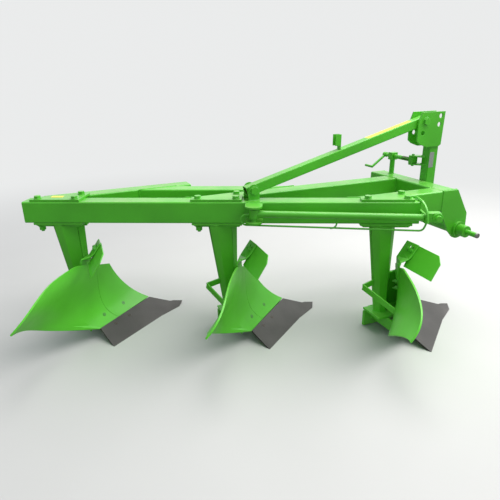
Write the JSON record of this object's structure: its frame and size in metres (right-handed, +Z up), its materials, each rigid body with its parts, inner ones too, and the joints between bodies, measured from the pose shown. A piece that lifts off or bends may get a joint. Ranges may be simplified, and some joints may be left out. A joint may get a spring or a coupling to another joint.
{
  "type": "mounted mouldboard plough",
  "caption": "Mounted mouldboard plough: plough bodies with shares, landsides and trash boards under a square tube frame, with a three point headstock moved sideways by a crank screw.",
  "frame": {"origin": "middle of the plough's plan box, at the ground it stands on", "axes": "+X forward, the way it is pulled; +Y left; +Z up"},
  "size_m": [2.3232, 1.4547, 1.112],
  "materials": {
    "frame_paint": "gloss",
    "body_paint": "gloss",
    "headstock_paint": "gloss",
    "share_steel": "satin"
  },
  "bodies": {
    "frame": {"main_beam": "frame_paint", "stiff_beam": "frame_paint", "left_rail": "frame_paint", "inner_rail": "frame_paint", "outer_rail": "frame_paint", "cross_member": "frame_paint", "shaft_plate_right": "frame_paint", "shaft_plate_left": "frame_paint", "leg_plates": "frame_paint", "brace_lug": "frame_paint", "lug_pin": "frame_paint", "swing_ears": "frame_paint", "side_tube": "frame_paint", "side_block": "frame_paint", "screw_post": "frame_paint", "parking_rod": "frame_paint", "latch_bar": "frame_paint", "share_rear": "share_steel", "share_middle": "share_steel", "share_front": "share_steel", "shin_rear": "body_paint", "shin_middle": "body_paint", "shin_front": "body_paint", "mouldboard_rear": "body_paint", "mouldboard_middle": "body_paint", "mouldboard_front": "body_paint", "landside_rear": "body_paint", "landside_middle": "body_paint", "landside_front": "body_paint", "frog_rear": "body_paint", "frog_middle": "body_paint", "frog_front": "body_paint", "leg_rear": "body_paint", "leg_middle": "body_paint", "leg_front": "body_paint", "stay_rear": "body_paint", "stay_middle": "body_paint", "stay_front": "body_paint", "trash_bracket_rear": "body_paint", "trash_bracket_middle": "body_paint", "trash_bracket_front": "body_paint", "trash_board_rear": "body_paint", "trash_board_middle": "body_paint", "trash_board_front": "body_paint"},
    "headstock": {"cross_shaft": "headstock_paint", "mast_post": "headstock_paint", "mast_head": "headstock_paint", "mast_pin": "headstock_paint", "screw_clevis": "headstock_paint", "crank_screw": "headstock_paint"},
    "brace": {"brace": "headstock_paint", "brace_clip": "headstock_paint"}
  },
  "joints": [
    {"name": "headstock_shift", "type": "slide", "parent": "frame", "child": "headstock", "axis": [0, 1, 0], "range_m": [-0.02, 0.02]},
    {"name": "brace_swing", "type": "hinge", "parent": "frame", "child": "brace", "pos_m": [-0.00814, 0.15258, 0.774], "axis": [0, 0, 1], "range_deg": [-1.2, 1.2]}
  ],
  "couplings": [
    {"joint": "brace_swing", "follows": "headstock_shift", "rad_per_m": 0.97466}
  ]
}
